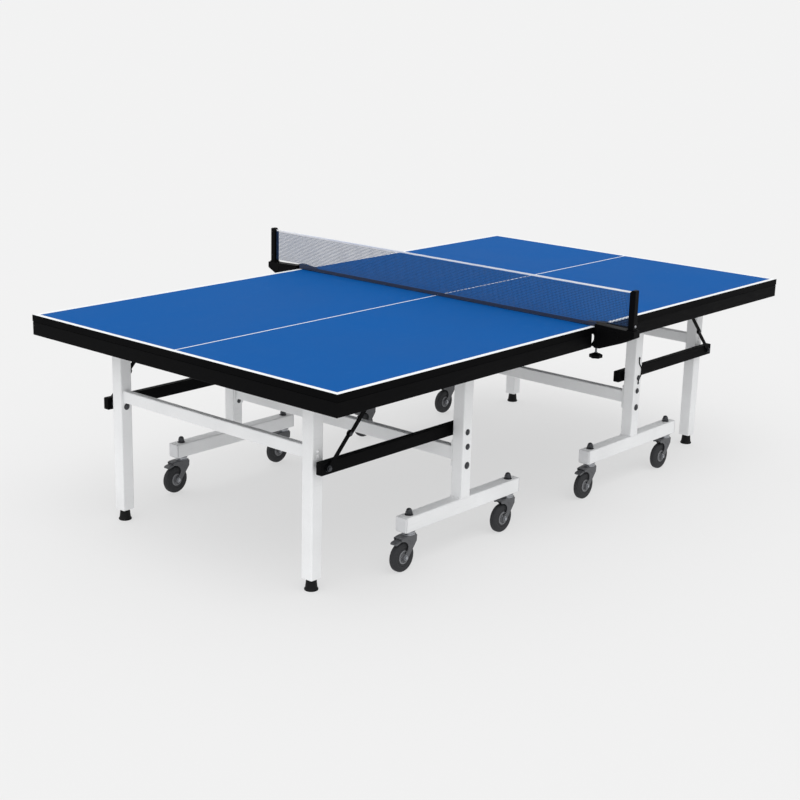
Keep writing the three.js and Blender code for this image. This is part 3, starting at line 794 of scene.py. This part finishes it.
def fork_mesh():
    """A caster housing about its stem, trailing towards -X."""
    part = Part()
    low = CROWN_Z
    race = [(9, 19.4), (22, 19.4), (23.5, 18.4), (23.5, 15.6), (20, 14.6), (20, 9.5)]
    race += [(22.5, 8.4), (23.5, 6.6), (21.5, 5.6), (19, 5), (9, 5)]
    part.turned([(r, low + z) for r, z in race], "Z", (0, 0, 0), 1, sides=36, ring=True)
    hood = [(-56, -15), (-30, -19), (20, -19), (26, -12), (26, 12), (20, 19), (-30, 19), (-56, 15)]
    part.prism(rounded(hood, 6), "Z", low + 0.5, low + 6.6, 2.2, steps=3)
    cheek = [(-55, 126), (-55, 116), (-36, 112), (-24, 103), (-18, 90), (-21, 78), (-33, 68)]
    cheek += [(-48, 61), (-47, 45), (-34, 39), (-21, 45), (-8, 62), (24, 103), (25, 126)]
    cheek = rounded(cheek, [1, 5, 14, 12, 14, 12, 9, 8, 9, 11, 9, 24, 8, 2], 4)
    for start in (-19, 15.6):
        part.prism(cheek, "Y", start, start + 3.4, 0.9)
    web = rounded([(-18, 104), (18, 104), (18, 126), (-18, 126)], 3)
    part.prism(web, "X", 20.5, 24, 0.9)
    for y in (-1, 1):
        part.wire([(-18, y * 19.3, 114), (4, y * 19.3, 98)], 1.0, 0)
        spot = (-CASTER_TRAIL, AXLE_Z, y * 19)
        part.turned([(13, 0), (13, y * 0.9), (11.8, y * 1.4)], "Y", spot, 0, sides=28)
        bolt(part, "Y", (-CASTER_TRAIL, AXLE_Z, y * 20.2), y, 7.4, 4.4, finish=1)
    part.turned([(5, -21), (5, 21)], "Y", (-CASTER_TRAIL, AXLE_Z, 0), 1, sides=20)
    return part


def wheel_mesh():
    """A wheel about its axle: a ringed tyre on a ribbed hub."""
    part = Part()
    outer = [(24.2, 9.4), (24.6, 11.4), (27, 12), (30.5, 12), (31.5, 11.1), (32.5, 11.1)]
    outer += [(33.5, 12.4), (41, 12.8), (42, 12.0), (43, 12.0), (44, 12.6), (48.5, 11.8)]
    outer += [(51.5, 10), (53.5, 7), (54, 3.5)]
    tyre = [(r, -y) for r, y in outer] + [(r, y) for r, y in outer[::-1]]
    part.turned(tyre, "Y", (0, 0, 0), 0, sides=56, ring=True)
    side = [(5.8, 14.6), (9.5, 14.6), (10.8, 14.0), (11.2, 9.6), (12.2, 8.6), (18.2, 8.6)]
    side += [(19.2, 12.0), (20, 12.8), (23.2, 12.8), (24, 12.0), (24.4, 10.6), (24.6, 8)]
    hub = [(r, -y) for r, y in side] + [(r, y) for r, y in side[::-1]]
    part.turned(hub, "Y", (0, 0, 0), 1, sides=48, ring=True)
    for k in range(6):
        turn = Matrix.Rotation(math.pi * k / 3, 4, "Y")
        part.place = turn
        part.prism(rectangle((10.8, 19), (-1.4, 1.4), 0.8), "Y", -10.4, 10.4, 0.7, 1)
    part.place = Matrix.Identity(4)
    return part


def pedal_mesh():
    """A brake pedal, thin at its tip, with grip ribs on top."""
    part = Part()
    shape = [(-14, 121.5), (-42, 121.5), (-74, 114.5), (-79.5, 109.5)]
    shape += [(-76, 105), (-44, 114), (-14, 114)]
    shape = rounded(shape, [1, 8, 3, 2.4, 2, 8, 1], 4)
    part.prism(shape, "Y", -14.2, 14.2, 1.4, steps=3)
    for x in (-50, -56, -62, -68):
        z = 121.5 + (x + 42) * 0.22
        part.wire([(x, -11, z - 0.3), (x, 11, z - 0.3)], 1.2, sides=10)
    return part


# Net set ----------------------------------------------------------------------------------

NET_LOW, NET_TOP, NET_BAND, NET_HEM = 762, 912, 7.5, 12
NET_RAISED = 776
NET_STEP = 764
NET_END = 902.6
SCREW = (24, 751)


def net_low(y):
    """The height of the net's lower edge: on the table, and lifted over each clamp's arm."""
    return NET_RAISED if abs(y) > NET_STEP + 0.5 else NET_LOW


def net_threads():
    """The net's own threads, knotted where they cross."""
    pitch, radius = 6, 0.85
    part = Part()
    columns = round(2 * NET_END / pitch)
    ys = [-NET_END + 2 * NET_END * k / columns for k in range(columns + 1)]
    rows = 22
    low, high = NET_LOW + NET_HEM, NET_TOP - NET_BAND
    zs = [low + (high - low) * k / rows for k in range(rows + 1)]
    for j, y in enumerate(ys):
        start = net_low(y) + 4
        path = [(0.35 * (-1) ** (j + i), y, z) for i, z in enumerate(zs) if z > start]
        path = [(0, y, start)] + path + [(0, y, high + 5)]
        part.wire(path, radius, sides=4)
    for i, z in enumerate(zs[1:-1]):
        reach = NET_END if z > NET_RAISED + 4 else NET_STEP
        inside = [y for y in ys if abs(y) <= reach]
        path = [(0.35 * (-1) ** (j + i + 1), y, z) for j, y in enumerate(inside)]
        part.wire(path, radius, sides=4)
    return part


def tape(low, high, thickness, start, end, seed, steps=150):
    """A flat cloth tape along Y, slightly wavy, with rounded long edges."""
    part = Part()
    section = rectangle((-thickness / 2, thickness / 2), (low, high), thickness * 0.45, 3)
    rings = []
    for k in range(steps + 1):
        y = start + (end - start) * k / steps
        away = 0.25 * noise.noise(Vector((y * 0.03, seed, 0)))
        rise = 0.5 * noise.noise(Vector((y * 0.02, seed, 9)))
        rings.append([Vector((p.x + away, y, p.y + rise)) for p in section])
    part.loft(rings)
    return part


def clamp(row, edge):
    """The bracket that grips the board's edge and carries a net post."""
    part = Part(Matrix.Diagonal((1, edge, 1, 1)))
    jaw = [(690, 760.7), (700, 767.5), (762, 774), (790, 774), (790, 682), (738, 682)]
    jaw += [(738, 691), (764.8, 691), (764.8, 760.7)]
    jaw = rounded(jaw, [0.5, 6, 10, 2, 4, 3, 2, 4, 2], 4)
    part.prism(jaw, "X", 4, 44, 2.2, steps=3)
    arm = [(766, 774), (884, 770), (936, 770), (936, 745), (884, 719.5), (812, 692.5), (790, 684.5)]
    arm = rounded(arm + [(766, 684.5)], [2, 10, 3, 5, 16, 10, 6, 3], 4)
    part.prism(arm, "X", -20, 20, 2.6, steps=3)
    for x in (-20.6, 20.6):
        rib = [(776, 692), (812, 700), (884, 728), (926, 750)]
        part.wire([(x - math.copysign(0.6, x), y, z) for y, z in rib], 1.6, sides=10)
        window = rounded([(782, 763), (872, 760), (872, 734), (812, 710), (782, 702)], 8)
        rim = [(x - math.copysign(0.6, x), p.x, p.y) for p in window]
        part.wire(rim, 1.3, sides=8, closed=True)
    part.turned([(9, 682.4), (9, 679), (7.6, 678)], "Z", (*SCREW, 0), 1, sides=24)
    socket = rounded([(-15, 900), (15, 900), (15, 930), (-15, 930)], 3)
    part.prism(socket, "Z", 766, 775, 1.4, finish=0)
    name = f"{row}_net_bracket"
    return part.made(name, [MOULDED, ZINC], "right_top", "net_hardware", [f"{row}_net_clamp"])


def net_post(row, edge):
    """An upright of the net, with tying ridges on its inner face and a screw outside."""
    part = Part(Matrix.Diagonal((1, edge, 1, 1)))
    shape = [(903, 770.4), (927, 770.4), (927, 917), (912, 917), (903, 908)]
    part.prism(rounded(shape, [1, 1, 3, 3, 3], 3), "X", -12, 12, 1.8, steps=3)
    for z in (800, 840, 880):
        part.wire([(-8, 902.9, z), (8, 902.9, z)], 0.9, sides=8)
    bolt(part, "Y", (0, 786, 926.8), 1, 4, 2.4, finish=1, hexagon=False)
    name = f"{row}_net_upright"
    return part.made(name, [MOULDED, ZINC], "right_top", "net_hardware", [f"{row}_net_post"])


def clamp_screw(row, edge):
    """The screw under a clamp, with a pressure pad above and a lobed knob below."""
    part = Part(Matrix.Translation((SCREW[0], edge * SCREW[1], 0)))
    thread = [(4, 654)]
    for k in range(36):
        z = 656 + 2 * k
        thread += [(3.6, z), (4.2, z + 0.7), (4.2, z + 1.2)]
    part.turned(thread + [(3.6, 730)], "Z", (0, 0, 0), 1, sides=20)
    part.turned([(6, 729), (9, 729.8), (9, 733.4), (8, 734.4)], "Z", (0, 0, 0), 0, sides=28)
    lobes = []
    for k in range(60):
        a = 2 * math.pi * k / 60
        r = 23 + 1.9 * math.cos(6 * a)
        lobes.append(Vector((r * math.cos(a), r * math.sin(a))))
    part.prism(lobes, "Z", 637.4, 651, 3.4, steps=4)
    part.turned([(15, 650), (13, 652.4), (8, 654.6), (7, 657)], "Z", (0, 0, 0), 0, sides=28)
    body = f"{row}_clamp_screw"
    name = f"{row}_clamp_knob"
    return part.made(name, [MOULDED, ZINC], body, "net_hardware", [f"{row}_clamp_screw"])


# The table --------------------------------------------------------------------------------

for half, side in HALVES.items():
    board(half, side)
    top_frame(half, side)
    post_crossbar(half, side)
    leg_crossbar(half, side)
    for row, edge in ROWS.items():
        t_frame(half, side, row, edge)
        leg(half, side, row, edge)
        link_bar(half, side, row, edge)
        lower_stay(half, side, row, edge)
        upper_stay(half, side, row, edge)
        prefix = f"{half}_{row}"
        spot = (side * LEG.x, edge * LEG.y, 0)
        foot_mesh().made(
            f"{prefix}_levelling_foot",
            [RUBBER, DARK_BOLT, ZINC],
            f"{prefix}_foot",
            "foot_plastic",
            [f"{prefix}_foot"],
            spot,
        )
        for place, out in (("inner", -1), ("outer", 1)):
            stem_x = side * (POST.x + out * CASTER_SPREAD)
            unit = f"{prefix}_{place}"
            spot = (stem_x, edge * POST.y, 0)
            body = f"{unit}_swivel"
            fork_mesh().made(
                f"{unit}_housing", [HOUSING, ZINC], body, "caster_body", [f"{unit}_fork"], spot
            )
            hub = (stem_x - CASTER_TRAIL, edge * POST.y, AXLE_Z)
            body = f"{unit}_wheel"
            wheel_mesh().made(f"{unit}_tyre", [TYRE, HUB], body, "tyre", [f"{unit}_wheel"], hub)
            if side * out < 0:
                pedal = f"{unit}_brake_pedal"
                body = f"{unit}_brake"
                pedal_mesh().made(f"{unit}_pedal", [HOUSING], body, "caster_body", [pedal], spot)
spring_clip()

mesh_piece = net_threads().made("net_mesh", [THREAD], "right_top", "net_cloth", ["net"])
band = tape(NET_TOP - NET_BAND, NET_TOP - 0.6, 2.4, -NET_END, NET_END, 1)
band = band.made("net_top_band", [TAPE], "right_top", "net_cloth")
hem = tape(NET_LOW - 0.6, NET_LOW + NET_HEM, 2.2, -NET_STEP, NET_STEP, 2)
hem = hem.made("net_bottom_hem", [HEM], "right_top", "net_cloth")
for row, edge in ROWS.items():
    clamp(row, edge)
    net_post(row, edge)
    clamp_screw(row, edge)

# Floor, light and camera ------------------------------------------------------------------

scene = bpy.context.scene
scene.view_settings.view_transform = "Standard"

floor_mesh = bpy.data.meshes.new("floor")
reach = 1500
floor_mesh.from_pydata(
    [(-reach, -reach, 0), (reach, -reach, 0), (reach, reach, 0), (-reach, reach, 0)], [], [(0, 1, 2, 3)]
)
floor = bpy.data.objects.new("floor", floor_mesh)
scene.collection.objects.link(floor)
paper = Shader("studio_floor", 0.95, specular=0.0)
paper.surface.inputs["Base Color"].default_value = (0.27, 0.27, 0.27, 1)
paper.surface.inputs["Emission Color"].default_value = (1, 1, 1, 1)
paper.surface.inputs["Emission Strength"].default_value = 0.57
floor_mesh.materials.append(paper.material)

world = bpy.data.worlds.new("studio")
world.use_nodes = True
world.node_tree.nodes["Background"].inputs["Color"].default_value = (1, 1, 1, 1)
world.node_tree.nodes["Background"].inputs["Strength"].default_value = 0.87
scene.world = world

overhead = bpy.data.objects.new("overhead", bpy.data.lights.new("overhead", "SUN"))
overhead.data.energy = 0.8
overhead.data.angle = math.radians(50)
overhead.rotation_euler = (math.radians(12), math.radians(-10), 0)
scene.collection.objects.link(overhead)

fill = bpy.data.objects.new("fill", bpy.data.lights.new("fill", "SUN"))
fill.data.energy = 0.7
fill.data.angle = math.radians(80)
fill.rotation_euler = Vector((-0.88, -0.42, 0.24)).to_track_quat("Z", "Y").to_euler()
scene.collection.objects.link(fill)

YAW, PITCH, ROLL = 0.714, -0.269, 0.025
ahead = Vector((math.cos(PITCH) * math.cos(YAW), math.cos(PITCH) * math.sin(YAW), math.sin(PITCH)))
level = Vector((math.sin(YAW), -math.cos(YAW), 0))
above = level.cross(ahead)
right = level * math.cos(ROLL) + above * math.sin(ROLL)
up = above * math.cos(ROLL) - level * math.sin(ROLL)
camera = bpy.data.objects.new("camera", bpy.data.cameras.new("camera"))
camera.data.lens = 68.47
camera.data.sensor_width = 36
camera.data.clip_end = 4000
camera.matrix_world = Matrix(
    [(*[right[i], up[i], -ahead[i]], place) for i, place in enumerate((-4.565, -3.779, 1.959))]
    + [(0, 0, 0, 1)]
)
scene.collection.objects.link(camera)
scene.camera = camera
